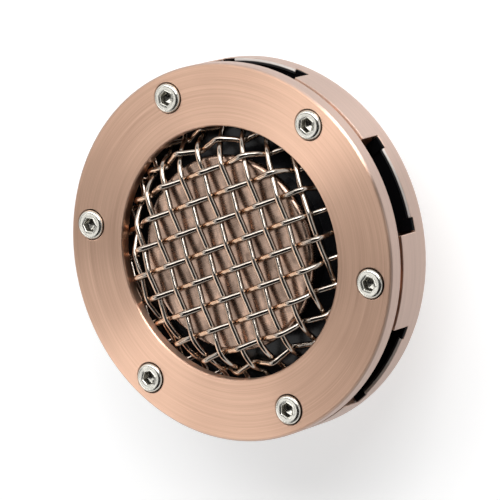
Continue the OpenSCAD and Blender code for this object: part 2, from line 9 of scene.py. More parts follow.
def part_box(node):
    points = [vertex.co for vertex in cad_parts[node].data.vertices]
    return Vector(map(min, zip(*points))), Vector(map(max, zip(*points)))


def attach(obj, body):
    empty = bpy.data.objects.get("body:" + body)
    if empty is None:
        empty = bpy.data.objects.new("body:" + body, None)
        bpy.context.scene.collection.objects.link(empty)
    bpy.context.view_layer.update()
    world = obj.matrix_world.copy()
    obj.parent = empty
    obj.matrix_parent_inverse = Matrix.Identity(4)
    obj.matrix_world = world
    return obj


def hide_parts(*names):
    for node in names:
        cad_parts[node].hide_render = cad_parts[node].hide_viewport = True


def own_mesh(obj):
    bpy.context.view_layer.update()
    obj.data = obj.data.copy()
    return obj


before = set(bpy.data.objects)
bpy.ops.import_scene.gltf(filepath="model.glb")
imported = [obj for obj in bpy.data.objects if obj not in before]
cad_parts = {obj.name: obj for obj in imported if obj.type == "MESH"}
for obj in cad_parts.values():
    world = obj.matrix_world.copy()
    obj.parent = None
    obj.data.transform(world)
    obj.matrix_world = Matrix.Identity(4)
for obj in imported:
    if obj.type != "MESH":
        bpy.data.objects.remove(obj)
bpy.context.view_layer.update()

# Dresses a vented screw-in fuel tank cap with a domed wire mesh front, for rendering.
# Sizes are in metres. Z is the axis of the cap and z = 0 is the end of its neck.

bl_info = {
    "name": "Vented Tank Cap",
    "version": (1, 0, 0),
    "blender": (4, 5, 0),
    "location": "3D View > Sidebar > Tank Cap",
    "description": "Builds the wire mesh, screws, springs, finishes and stage of a fuel tank cap",
    "category": "Object",
}

MM = 0.001
RING_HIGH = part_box("front_ring")[1]
COVER_R = RING_HIGH.x
FACE_Z = RING_HIGH.z

# The pressed mesh, as the source of the solids gives it
MESH_START = (1.9 * MM, 2.0 * MM)
WEAVE_GAP = 0.1 * MM
MESH_FLAT_R = 20.8 * MM
CROWN_R = 8.0 * MM
FOOT_R = 3.0 * MM
WALL_ANGLE = math.radians(60)
REBATE_Z = 31.35 * MM
RIM_GAP = 0.05 * MM
RIM_END_R = 33.55 * MM
SHORTEST_WIRE = 3.0 * MM
# The crimp is a cosine with a share of the cosine of three times its angle, scaled to a peak of 1
CRIMP_THIRD = 1 / 9
CRIMP_SCALE = 0.9
# How far a wire's streaks are moved along: by each wire, and for all the wires along X
STREAK_STEP = 0.1
STREAK_SHIFT_X = 2.0

# The ring screws
SCREW_COUNT = 6
SCREW_STEP = math.tau / SCREW_COUNT
FIRST_SCREW_ANGLE = math.radians(36)
SCREW_TURN = math.radians(17)
SCREW_PITCH_R = 39.35 * MM
SCREW_SEAT_Z = 31.9 * MM
SCREW_SHANK_R = 2.0 * MM
SCREW_LENGTH = 10.0 * MM
SCREW_SIDES = 96
HEAD_EDGE_ROWS = 9
HEAD_FOOT_CHAMFER = 0.12 * MM
SOCKET_LEAD = 0.16 * MM
SOCKET_CORNER = 0.02
CREASE = 0.05 * MM
# Each screw's marks are read this much higher than those of the screw before
SCREW_GRAIN_STEP = 50 * MM

# Grime and painted shade of a screw, dark in the gap round the head and in the socket: its colour, and
# the heights and radii over which it fades
SCREW_GRIME_AND_SHADE = (0.035, 0.030, 0.022)
GAP_GRIME_AND_SHADE_Z = (2.45 * MM, 2.65 * MM)
GAP_GRIME_AND_SHADE_R = (2.6 * MM, 2.8 * MM)
SOCKET_GRIME_AND_SHADE_Z = (1.8 * MM, 3.2 * MM)
SOCKET_GRIME_AND_SHADE_R = (1.7 * MM, 1.8 * MM)
SOCKET_MOUTH_Z = (3.3 * MM, 3.35 * MM)
SCREW_TIP_MARGIN = 0.1 * MM

# How far inside the cover's radius the paler tone of its round sides, a painted sheen, starts and is
# full
SIDE_FADE = (0.45 * MM, 0.1 * MM)

# The ledge of the housing along the slots in its side. Its outer strip is painted pale as a highlight,
# and the rest is painted black as shade.
LEDGE_Z = 23.8 * MM
LEDGE_R = 43.8 * MM
LEDGE_HIGHLIGHT_R = 44.35 * MM
LEDGE_SOFT = 0.1 * MM
LEDGE_START_FADE = 0.15 * MM
LEDGE_END_FADE = (0.12 * MM, 0.02 * MM)
LEDGE_HEIGHT_FADE = (0.15 * MM, 0.3 * MM)

# Radii over which the liner turns from glossy to dull, and painted darker as shade
LINER_FADE_R = (37 * MM, 40 * MM)

# The floor and its backdrop, and how bright they look near the cap and far from it
FLOOR_R = 2.4
BEND_R = 0.6
BACK_WALL_H = 0.7
FLOOR_DROP = 0.1 * MM
BACKDROP_ROWS = 16
BACKDROP_SIDES = 96
GLOW_DISTANCES = (0.4, 1.6)
GLOW_STRENGTHS = (0.68, 1.0)
SEEN_SHARE = 0.52

# The point that the softboxes face and their distance from it
LIGHT_TARGET = (0, 0, 0.03)
LIGHT_DISTANCE = 1.0

# The springs of the vent valve
RELIEF_ENDS_Z = (13.8 * MM, 22.0 * MM)
VACUUM_ENDS_Z = (18.2 * MM, 20.6 * MM)

# Share of the height that is added to the radius, so that turning marks also run round upright walls
LATHE_RISE = 0.83
# Guards a division at the axis
NEAR_ZERO = 1e-9
# Inputs and output of Blender's colour mix
MIX_SHARE, MIX_LOW, MIX_HIGH, MIX_RESULT = 0, 6, 7, 2
# Dot product of the true and the rounded normal on a flat face and on a full edge
EDGE_TURN = (0.999, 0.86)


# Properties


def length_value(name, default, description, **limits):
    """A length in metres that a user can change."""
    return FloatProperty(
        name=name, default=default, description=description, unit="LENGTH", precision=5, **limits
    )


def colour_value(name, default, description):
    """A colour that a user can change."""
    return FloatVectorProperty(
        name=name, default=default, description=description, subtype="COLOR", size=3, min=0, max=1
    )


class TankCapSizes(bpy.types.PropertyGroup):
    """Sizes of the pieces that this script makes"""

    wire_radius: length_value(
        "Mesh Wire Radius", 0.68 * MM, "Radius of the wires of the mesh",
        min=0.3 * MM, max=0.8 * MM,
    )
    wire_pitch: length_value(
        "Mesh Pitch", 5.95 * MM, "Distance from one wire of the mesh to the next",
        min=5.8 * MM, max=6.6 * MM,
    )
    crimp_share: FloatProperty(
        name="Crimp Share",
        description="Share of the crimp that the wires along X take, and the others have the rest",
        default=0.75, subtype="FACTOR", min=0.3, max=0.9,
    )
    mesh_turn: FloatProperty(
        name="Mesh Turn",
        description="Turn of the weave about the axis of the cap",
        default=math.radians(3), subtype="ANGLE",
    )
    mesh_rise: length_value(
        "Mesh Rise", 1.78 * MM, "Height of the flat middle of the mesh over the front face",
        min=1.7 * MM, max=2.6 * MM,
    )
    wire_steps: IntProperty(
        name="Steps per Pitch",
        description="Rows of faces along a wire from one crossing to the next",
        default=14, min=8, max=24,
    )
    wire_sides: IntProperty(
        name="Wire Sides",
        description="Faces round a wire",
        default=24, min=8, max=24,
    )
    head_radius: length_value("Screw Head Radius", 3.55 * MM, "Radius of the heads of the ring screws")
    head_height: length_value("Screw Head Height", 3.45 * MM, "Height of the heads of the ring screws")
    head_edge: length_value("Screw Head Edge", 0.9 * MM, "Radius of the rounded edge of a head")
    socket_flats: length_value("Socket Across Flats", 3.0 * MM, "Width of the hexagon socket")
    socket_depth: length_value("Socket Depth", 2.0 * MM, "Depth of the hexagon socket")


class TankCapFinishes(bpy.types.PropertyGroup):
    """Colours and roughness of the finishes"""

    copper: colour_value(
        "Copper", (0.74, 0.485, 0.355), "Brushed copper of the front ring and the cover"
    )
    copper_dark: colour_value(
        "Copper Shade", (0.54, 0.33, 0.235), "Darker streaks of the brushed copper"
    )
    # A painted sheen: the round sides are paler than the face
    wall_sheen_copper: colour_value(
        "Side Copper", (0.56, 0.42, 0.36), "Paler copper of the round sides of the cover"
    )
    # The disc's copper is darker than the ring's, partly as painted shade under the mesh
    shaded_disc_copper: colour_value(
        "Disc Copper", (0.40, 0.28, 0.217), "Duller copper of the disc behind the mesh"
    )
    shaded_disc_copper_dark: colour_value("Disc Shade", (0.325, 0.22, 0.166), "Darker streaks of the disc")
    # Painted highlight on the outer strip of the slot ledges
    ledge: colour_value(
        "Slot Ledge", (0.80, 0.75, 0.71), "Painted highlight on the outer strip of the ledges along the slots"
    )
    copper_roughness: FloatProperty(
        name="Copper Roughness", description="Roughness of the brushed copper",
        default=0.33, subtype="FACTOR", min=0, max=1,
    )
    disc_roughness: FloatProperty(
        name="Disc Roughness", description="Roughness of the disc behind the mesh",
        default=0.27, subtype="FACTOR", min=0, max=1,
    )
    wire: colour_value("Mesh Wire", (0.435, 0.38, 0.33), "Polished wire of the mesh")
    # A copper tint painted on the side of the wires that faces -X: a painted reflection of the copper
    # disc
    wire_reflection_tint: colour_value(
        "Wire Reflection Tint", (0.68, 0.445, 0.30), "Copper painted on the flanks that face -X, as a reflection of the copper disc"
    )
    stainless: colour_value("Stainless", (0.76, 0.74, 0.67), "Stainless steel of the screws")
    liner: colour_value("Liner", (0.010, 0.010, 0.012), "Glossy black of the liner")
    plastic: colour_value(
        "Plastic", (0.024, 0.024, 0.026), "Moulded black plastic of the neck and the valve"
    )
    rubber: colour_value("Rubber", (0.018, 0.018, 0.018), "Rubber of the gasket and the seals")
    brass: colour_value("Brass", (0.74, 0.56, 0.27), "Machined brass of the relief plate")
    spring: colour_value("Spring Steel", (0.56, 0.55, 0.53), "Drawn steel of the springs")


class TankCapStage(bpy.types.PropertyGroup):
    """Camera, floor and light"""

    camera_lean: FloatProperty(
        name="Camera Lean",
        description="Angle between the camera's sight line and the axis of the cap",
        default=math.radians(34.59), subtype="ANGLE",
    )
    camera_roll: FloatProperty(
        name="Camera Roll",
        description="Turn of the camera about its sight line",
        default=math.radians(15.75), subtype="ANGLE",
    )
    camera_turn: FloatProperty(
        name="Camera Turn",
        description="Turn of the sight line about the axis of the cap",
        default=math.radians(0.67), subtype="ANGLE",
    )
    camera_offset: FloatVectorProperty(
        name="Camera Offset",
        description="Place of the camera right of, above and back from the middle of the front face",
        default=(5.17 * MM, 0.82 * MM, 1010.03 * MM), size=3, unit="LENGTH", precision=5,
    )
    camera_lens: FloatProperty(
        name="Focal Length",
        description="Focal length of the lens in millimetres",
        default=309.67, min=50, max=500,
    )
    backdrop: colour_value(
        "Backdrop", (0.93, 0.93, 0.93), "Colour of the floor and the curved backdrop"
    )
    room_light: FloatProperty(
        name="Room Light",
        description="Strength of the even light from all sides",
        default=0.015, min=0, max=2,
    )
    key_light: FloatProperty(
        name="Key Light",
        description="Brightness of the two large softboxes over the +Y side of the cap",
        default=1.0, min=0, max=4,
    )
    card_light: FloatProperty(
        name="Card Light",
        description="Brightness of the cards that the front face and the disc mirror",
        default=1.0, min=0, max=4,
    )
    side_light: FloatProperty(
        name="Side Light",
        description="Brightness of the low lights round the cap",
        default=1.0, min=0, max=4,
    )


# Surfaces


def quad_strip(rows, columns, first=0):
    """Faces of a grid of points that closes on itself across its columns, outwards for a ring that
    turns left as it goes along the rows."""
    i = np.arange(rows - 1)[:, None]
    j = np.arange(columns)[None, :]
    after = (j + 1) % columns
    row = i * columns
    above = row + columns
    quads = np.stack([row + j, row + after, above + after, above + j], axis=-1)
    return first + quads.reshape(-1, 4)


def end_fans(rows, columns, first, low_pole, high_pole):
    """Triangles that close the first and the last ring of such a grid round one point each."""
    j = np.arange(columns)
    after = (j + 1) % columns
    last = first + (rows - 1) * columns
    low = np.stack([np.full(columns, low_pole), first + after, first + j], axis=-1)
    high = np.stack([np.full(columns, high_pole), last + j, last + after], axis=-1)
    return np.concatenate([low, high])


def closed_rod(rings, low_pole, high_pole, first=0):
    """Points and faces of a closed solid: rings of points in order, with a pole at either end."""
    rows, columns = rings.shape[:2]
    points = np.concatenate([rings.reshape(-1, 3), low_pole[None, :], high_pole[None, :]])
    quads = quad_strip(rows, columns, first)
    poles = first + rows * columns
    fans = end_fans(rows, columns, first, poles, poles + 1)
    return points, quads, fans


def put_mesh(name, parts, grain, faces_plus_x=None):
    """One mesh object from several closed solids, each given as points, quads and triangles. Grain is a
    vector at each point that its finish reads, along the drawn wire or in the screw's own axes.
    Faces_plus_x is how far a point's surface faces +X, from 0 to 1."""
    points = np.concatenate([part[0] for part in parts])
    faces = []
    for part in parts:
        faces += part[1].tolist()
        faces += part[2].tolist()
    mesh = bpy.data.meshes.new(name)
    mesh.from_pydata(points.tolist(), [], faces)
    mesh.polygons.foreach_set("use_smooth", np.ones(len(mesh.polygons), dtype=bool))
    layer = mesh.attributes.new("grain", "FLOAT_VECTOR", "POINT")
    layer.data.foreach_set("vector", np.asarray(grain, dtype=np.float32).ravel())
    if faces_plus_x is not None:
        layer = mesh.attributes.new("faces_plus_x", "FLOAT", "POINT")
        layer.data.foreach_set("value", np.asarray(faces_plus_x, dtype=np.float32))
    mesh.update()
    if mesh.validate():
        raise RuntimeError(f"the mesh of {name} had bad faces")
    piece = bpy.data.objects.new(name, mesh)
    bpy.context.scene.collection.objects.link(piece)
    return piece


def unit(vectors):
    """Vectors scaled to a length of 1."""
    return vectors / np.linalg.norm(vectors, axis=-1, keepdims=True)


def round_wire(path, up, radius, sides, first=0):
    """A round wire along a path: at each point of the path stands a circle, square to the path, and
    the end circles are closed to a point each. Up is any direction off the path at each point. Its
    grain is the length run along the wire and the place in the circle."""
    ahead = unit(np.gradient(path, axis=0))
    side = unit(np.cross(ahead, up))
    top = np.cross(side, ahead)
    angle = np.arange(sides)[::-1] * math.tau / sides
    across = np.cos(angle)[None, :, None] * side[:, None, :]
    ring = across + np.sin(angle)[None, :, None] * top[:, None, :]
    rings = path[:, None, :] + radius * ring
    length = np.concatenate([[0.0], np.cumsum(np.linalg.norm(np.diff(path, axis=0), axis=1))])
    grain = np.zeros(rings.shape)
    grain[:, :, 0] = length[:, None]
    grain[:, :, 1] = radius * np.cos(angle)
    grain[:, :, 2] = radius * np.sin(angle)
    grain = np.concatenate([grain.reshape(-1, 3), [[0, 0, 0], [length[-1], 0, 0]]])
    return closed_rod(rings, path[0], path[-1], first), grain


# Pieces


class PressedSheet:
    """The profile that the mesh is pressed to, as radius, height and slope at a run along the sheet
    from the axis: a flat middle, an arc down, a straight wall, an arc out and a flat rim."""

    def __init__(self, sizes):
        crimp = 2 * sizes.wire_radius + WEAVE_GAP
        self.lift_x = crimp * sizes.crimp_share
        self.lift_y = crimp - self.lift_x
        self.top = FACE_Z + sizes.mesh_rise
        self.drop = self.top - (REBATE_Z - RIM_GAP - self.lift_x - sizes.wire_radius)
        bends = (CROWN_R + FOOT_R) * (1 - math.cos(WALL_ANGLE))
        self.wall = (self.drop - bends) / math.sin(WALL_ANGLE)
        self.wall_start_r = MESH_FLAT_R + CROWN_R * math.sin(WALL_ANGLE)
        wall_width = self.wall * math.cos(WALL_ANGLE)
        self.rim_start_r = self.wall_start_r + wall_width + FOOT_R * math.sin(WALL_ANGLE)
        self.crown_start = MESH_FLAT_R
        self.wall_start = self.crown_start + CROWN_R * WALL_ANGLE
        self.foot_start = self.wall_start + self.wall
        self.rim_start = self.foot_start + FOOT_R * WALL_ANGLE
        self.end = self.rim_start + RIM_END_R - self.rim_start_r

    def at(self, run):
        """Radius, drop below the top and slope at each run."""
        crown = np.clip((run - self.crown_start) / CROWN_R, 0, WALL_ANGLE)
        wall = np.clip(run - self.wall_start, 0, self.wall)
        foot = np.clip((self.rim_start - run) / FOOT_R, 0, WALL_ANGLE)
        rim = np.maximum(run - self.rim_start, 0)
        foot_width = FOOT_R * (math.sin(WALL_ANGLE) - np.sin(foot))
        foot_drop = FOOT_R * (np.cos(foot) - math.cos(WALL_ANGLE))
        radius = np.minimum(run, MESH_FLAT_R) + CROWN_R * np.sin(crown)
        radius = radius + wall * math.cos(WALL_ANGLE) + foot_width + rim
        drop = CROWN_R * (1 - np.cos(crown)) + wall * math.sin(WALL_ANGLE) + foot_drop
        slope = np.minimum(crown, foot)
        return radius, drop, slope

    def place(self, flat, lift):
        """Points of the flat sheet carried onto the pressed shape and lifted off it, and normals."""
        run = np.linalg.norm(flat, axis=1)
        outward = flat / np.maximum(run, NEAR_ZERO)[:, None]
        radius, drop, slope = self.at(run)
        normal = np.column_stack([outward * np.sin(slope)[:, None], np.cos(slope)])
        sheet = np.column_stack([outward * radius[:, None], self.top - drop])
        return sheet + normal * lift[:, None], normal


def turned(points, angle):
    """Points turned about the Z axis."""
    c, s = math.cos(angle), math.sin(angle)
    return points @ np.array([[c, s, 0], [-s, c, 0], [0, 0, 1]])


def crimp_wave(phase):
    """How far a wire is bent off the middle of the weave, from -1 to 1: a cosine with a ninth of the
    cosine of three times its angle, which runs straighter between the crossings."""
    return CRIMP_SCALE * (np.cos(phase) + np.cos(3 * phase) * CRIMP_THIRD)


def weave_wires(sizes):
    """Every wire of the mesh. Wires lie one pitch apart both ways. Each goes over one crossing wire and
    under the next on the crimp's wave, and all of it is pressed to the sheet's profile. Each point
    keeps how far its surface faces +X, from 0 to 1, which the finish uses to paint a copper reflection
    on the side facing -X."""
    sheet = PressedSheet(sizes)
    step = sizes.wire_pitch / sizes.wire_steps
    wires_each_side = math.ceil(sheet.end / sizes.wire_pitch)
    parts, grains, faces_plus_x, first = [], [], [], 0
    for along_x in (True, False):
        own_start = MESH_START[1] if along_x else MESH_START[0]
        other_start = MESH_START[0] if along_x else MESH_START[1]
        for k in range(-wires_each_side, wires_each_side + 1):
            own = own_start + k * sizes.wire_pitch
            reach = math.sqrt(max(sheet.end**2 - own**2, 0))
            if reach < SHORTEST_WIRE:
                continue
            low = math.ceil((-reach - other_start) / step)
            high = math.floor((reach - other_start) / step)
            m = np.arange(low, high + 1)
            flip = (1 if k % 2 == 0 else -1) * (-1 if along_x else 1)
            crimp = sheet.lift_x if along_x else sheet.lift_y
            lift = crimp * flip * crimp_wave(m * math.pi / sizes.wire_steps)
            along = other_start + m * step
            across = np.full(len(m), own)
            flat = np.column_stack([along, across] if along_x else [across, along])
            path, normal = sheet.place(flat, lift)
            path, normal = turned(path, sizes.mesh_turn), turned(normal, sizes.mesh_turn)
            rod, grain = round_wire(path, normal, sizes.wire_radius, sizes.wire_sides, first)
            middle = np.concatenate([np.repeat(path, sizes.wire_sides, axis=0), path[:1], path[-1:]])
            # How far the surface faces +X: the finish paints a copper reflection on the side that faces
            # -X
            faces_plus_x.append(0.5 + 0.5 * (rod[0] - middle)[:, 0] / sizes.wire_radius)
            grain[:, 0] += (k + wires_each_side) * STREAK_STEP + (STREAK_SHIFT_X if along_x else 0.0)
            parts.append(rod)
            grains.append(grain)
            first += len(rod[0])
    return parts, np.concatenate(grains), np.concatenate(faces_plus_x)


def hexagon(angle, half_flats, corner):
    """Radius of a hexagon at an angle, its corners cut back by a share of its inner radius."""
    sixth = math.pi / 3
    local = np.mod(angle + sixth / 2, sixth) - sixth / 2
    sharp = half_flats / np.cos(local)
    return np.minimum(sharp, half_flats * (1 / math.cos(sixth / 2) - corner))


def screw_profile(sizes):
    """Half outline of a screw from the bottom of its socket over the head and down the shank to the
    tip, as radius, height and how far the ring there is a hexagon."""
    flats = sizes.socket_flats / 2
    top = sizes.head_height
    floor = top - sizes.socket_depth
    head_r = sizes.head_radius
    edge = sizes.head_edge
    mouth = flats + SOCKET_LEAD
    foot = HEAD_FOOT_CHAMFER
    socket = [
        # The cone at the bottom, and a crease where it meets the flats
        (0.45 * flats, floor - 0.30 * flats, 0.0),
        (0.80 * flats, floor - 0.06 * flats, 0.6),
        (flats - CREASE, floor, 1.0),
        (flats, floor + CREASE, 1.0),
        # The flats, and the lead-in that opens to the top of the head
        (flats, top - SOCKET_LEAD - 0.08 * MM, 1.0),
        (flats + 0.04 * MM, top - SOCKET_LEAD, 1.0),
        (mouth, top - 0.03 * MM, 0.9),
        (mouth + CREASE, top, 0.85),
    ]
    shoulder = [
        (head_r - edge + edge * math.cos(a), top - edge + edge * math.sin(a), 0.0)
        for a in np.linspace(math.pi / 2, 0, HEAD_EDGE_ROWS)
    ]
    head = [
        (head_r - edge - 0.1 * MM, top, 0.0),
        *shoulder,
        (head_r, top - edge - 0.1 * MM, 0.0),
        (head_r, foot, 0.0),
        (head_r - foot / 3, foot / 3, 0.0),
        (head_r - foot, 0.0, 0.0),
    ]
    shank = [
        # A small fillet under the head, and a bevel at the tip
        (SCREW_SHANK_R + 0.2 * MM, 0.0, 0.0),
        (SCREW_SHANK_R + 0.02 * MM, -0.08 * MM, 0.0),
        (SCREW_SHANK_R, -0.25 * MM, 0.0),
        (SCREW_SHANK_R, 0.5 * MM - SCREW_LENGTH, 0.0),
        (SCREW_SHANK_R - 0.1 * MM, 0.35 * MM - SCREW_LENGTH, 0.0),
        (SCREW_SHANK_R - 0.45 * MM, -SCREW_LENGTH, 0.0),
    ]
    return np.array(socket + head + shank)


def socket_screws(sizes):
    """The ring screws. One half outline turns about its axis, as a hexagon where the socket is, and is
    set round the screw circle, each with its own turn."""
    profile = screw_profile(sizes)
    angle = np.arange(SCREW_SIDES) * math.tau / SCREW_SIDES
    flats = sizes.socket_flats / 2
    bulge = hexagon(angle, flats, SOCKET_CORNER) / flats
    radius = profile[:, 0, None] * (1 + profile[:, 2, None] * (bulge[None, :] - 1))
    height = np.broadcast_to(profile[:, 1, None], radius.shape)
    rings = np.stack([radius * np.cos(angle), radius * np.sin(angle), height], axis=-1)[::-1]
    # The middle of the tip, and the point of the cone in the socket
    low_pole = np.array([0, 0, -SCREW_LENGTH])
    high_pole = np.array([0, 0, profile[0, 1] - 0.15 * flats])
    parts, grains, first = [], [], 0
    for i in range(SCREW_COUNT):
        points, quads, fans = closed_rod(rings, low_pole, high_pole, first)
        place = FIRST_SCREW_ANGLE + i * SCREW_STEP
        moved = turned(points, i * SCREW_TURN) + np.array([SCREW_PITCH_R, 0, SCREW_SEAT_Z])
        grain = points.copy()
        grain[:, 2] += i * SCREW_GRAIN_STEP
        parts.append((turned(moved, place), quads, fans))
        grains.append(grain)
        first += len(points)
    return parts, np.concatenate(grains)


def coil(radius, wire_radius, ends_z, turns, flat_turns, per_turn, sides):
    """A compression spring: a helix about the Z axis that rises evenly between end turns that lie
    flat."""
    rows = round(turns * per_turn) + 1
    t = np.arange(rows) / per_turn
    f = np.clip((t - flat_turns) / (turns - 2 * flat_turns), 0, 1)
    low, high = ends_z[0] + wire_radius, ends_z[1] - wire_radius
    path = np.column_stack(
        [radius * np.cos(math.tau * t), radius * np.sin(math.tau * t), low + (high - low) * f]
    )
    up = np.tile([0.0, 0.0, 1.0], (rows, 1))
    rod, grain = round_wire(path, up, wire_radius, sides)
    return [rod], grain


# Material helpers


def set_inputs(tree, node, values):
    """Sets each input of a node to a value, or joins it to a socket."""
    for key, value in values.items():
        if isinstance(value, bpy.types.NodeSocket):
            tree.links.new(value, node.inputs[key])
        else:
            node.inputs[key].default_value = value


def add(tree, kind, values=None, **settings):
    """A node with its settings and its inputs."""
    node = tree.nodes.new(kind)
    for name, setting in settings.items():
        setattr(node, name, setting)
    set_inputs(tree, node, values or {})
    return node


def calc(tree, operation, *terms):
    """A number worked out from one to three others."""
    return add(tree, "ShaderNodeMath", dict(enumerate(terms)), operation=operation).outputs[0]


def vector_calc(tree, operation, *terms):
    """A vector worked out from one or two others."""
    return add(tree, "ShaderNodeVectorMath", dict(enumerate(terms)), operation=operation).outputs[0]


def vector_number(tree, operation, *terms):
    """A number worked out from one or two vectors."""
    node = add(tree, "ShaderNodeVectorMath", dict(enumerate(terms)), operation=operation)
    return node.outputs["Value"]


def split(tree, vector):
    """The three parts of a vector."""
    return add(tree, "ShaderNodeSeparateXYZ", {0: vector}).outputs


def combined(tree, *parts):
    """A vector from its three parts."""
    return add(tree, "ShaderNodeCombineXYZ", dict(enumerate(parts))).outputs[0]


def weighted(tree, first, second, share):
    """Two numbers added, the first times a share and the second times the rest of it."""
    part = calc(tree, "MULTIPLY", first, share)
    return calc(tree, "ADD", part, calc(tree, "MULTIPLY", second, 1 - share))


def toned(colour, factor, lift=0.0):
    """A colour made darker or lighter by a factor, and lifted by the same amount in each channel."""
    return tuple(min(1.0, factor * channel + lift) for channel in colour)


def opaque(colour):
    """A colour with its alpha, or the socket that it comes from."""
    return colour if isinstance(colour, bpy.types.NodeSocket) else (*colour[:3], 1.0)


def mixed(tree, share, low, high):
    """A colour between two colours, each a colour or a socket."""
    values = {MIX_SHARE: share, MIX_LOW: opaque(low), MIX_HIGH: opaque(high)}
    node = add(tree, "ShaderNodeMix", values, data_type="RGBA", clamp_factor=True)
    return node.outputs[MIX_RESULT]


def spread(tree, value, low, high, to_low, to_high):
    """A value carried from one range onto another and held inside it."""
    values = {0: value, 1: low, 2: high, 3: to_low, 4: to_high}
    return add(tree, "ShaderNodeMapRange", values, clamp=True).outputs[0]


def noise(tree, vector, scale=1.0, detail=2.0, roughness=0.6):
    """Smooth noise, read as one number from 0 to 1."""
    values = {"Vector": vector, "Scale": scale, "Detail": detail, "Roughness": roughness}
    return add(tree, "ShaderNodeTexNoise", values, noise_dimensions="3D").outputs[0]


def object_place(tree):
    """A point's place in the object's own axes."""
    return add(tree, "ShaderNodeTexCoord").outputs["Object"]


def attribute(tree, name, output):
    """What an attribute of the piece says at a point."""
    return add(tree, "ShaderNodeAttribute", attribute_name=name).outputs[output]


def stretched(tree, vector, factors):
    """A vector with each part multiplied by its own factor."""
    return vector_calc(tree, "MULTIPLY", vector, factors)


def edge_share(tree, radius, samples):
    """How near a sharp edge a point lies, from 0 to 1, as the turn of a rounded normal, and that
    normal."""
    rounded = add(tree, "ShaderNodeBevel", {"Radius": radius}, samples=samples).outputs[0]
    true_normal = add(tree, "ShaderNodeNewGeometry").outputs["True Normal"]
    facing = vector_number(tree, "DOT_PRODUCT", rounded, true_normal)
    return spread(tree, facing, *EDGE_TURN, 0.0, 1.0), rounded


def bumped(tree, height, strength, distance, normal=None):
    """A normal bent by a pattern of heights, on top of another normal where one is given."""
    values = {"Height": height, "Strength": strength, "Distance": distance}
    if normal is not None:
        values["Normal"] = normal
    return add(tree, "ShaderNodeBump", values).outputs[0]


def empty_material(name):
    """A material with no nodes yet, and its tree."""
    material = bpy.data.materials.new(name)
    material.use_nodes = True
    material.node_tree.nodes.clear()
    return material, material.node_tree


def start_material(name):
    """A material that shows one shader, its tree and the shader."""
    material, tree = empty_material(name)
    shader = add(tree, "ShaderNodeBsdfPrincipled")
    add(tree, "ShaderNodeOutputMaterial", {"Surface": shader.outputs[0]})
    return material, tree, shader


# Finishes


def axis_distance(tree, place):
    """Distance from the Z axis."""
    return vector_number(tree, "LENGTH", stretched(tree, place, (1, 1, 0)))


def lathe_grain(tree, place, arc, across):
    """Coordinates in which noise runs in long arcs round the Z axis and is fine across them. They have
    no seam: the direction from the axis, and the radius plus a share of the height."""
    direction = vector_calc(tree, "NORMALIZE", stretched(tree, place, (1, 1, 0)))
    heading = split(tree, stretched(tree, direction, (arc, arc, 0)))
    rise = calc(tree, "MULTIPLY", split(tree, place)[2], LATHE_RISE)
    run = calc(tree, "ADD", axis_distance(tree, place), rise)
    return combined(tree, heading[0], heading[1], calc(tree, "MULTIPLY", run, across))


def round_tangent(tree, place):
    """Tangent square to the turning marks: the normal crossed with the direction round the axis."""
    parts = split(tree, place)
    around = combined(tree, calc(tree, "MULTIPLY", parts[1], -1.0), parts[0], 0.0)
    normal = add(tree, "ShaderNodeNewGeometry").outputs["Normal"]
    return vector_calc(tree, "NORMALIZE", vector_calc(tree, "CROSS_PRODUCT", normal, around))


def ledge_share(tree, radius, height):
    """How far a point lies on the ledge along the slots, from 0 to 1, from its radius and height."""
    off_level = calc(tree, "ABSOLUTE", calc(tree, "SUBTRACT", height, LEDGE_Z))
    level = spread(tree, off_level, *LEDGE_HEIGHT_FADE, 1.0, 0.0)
    outside = spread(tree, radius, LEDGE_R - LEDGE_START_FADE, LEDGE_R, 0.0, 1.0)
    inside = spread(tree, radius, COVER_R - LEDGE_END_FADE[0], COVER_R - LEDGE_END_FADE[1], 1.0, 0.0)
    return calc(tree, "MULTIPLY", calc(tree, "MULTIPLY", level, outside), inside)


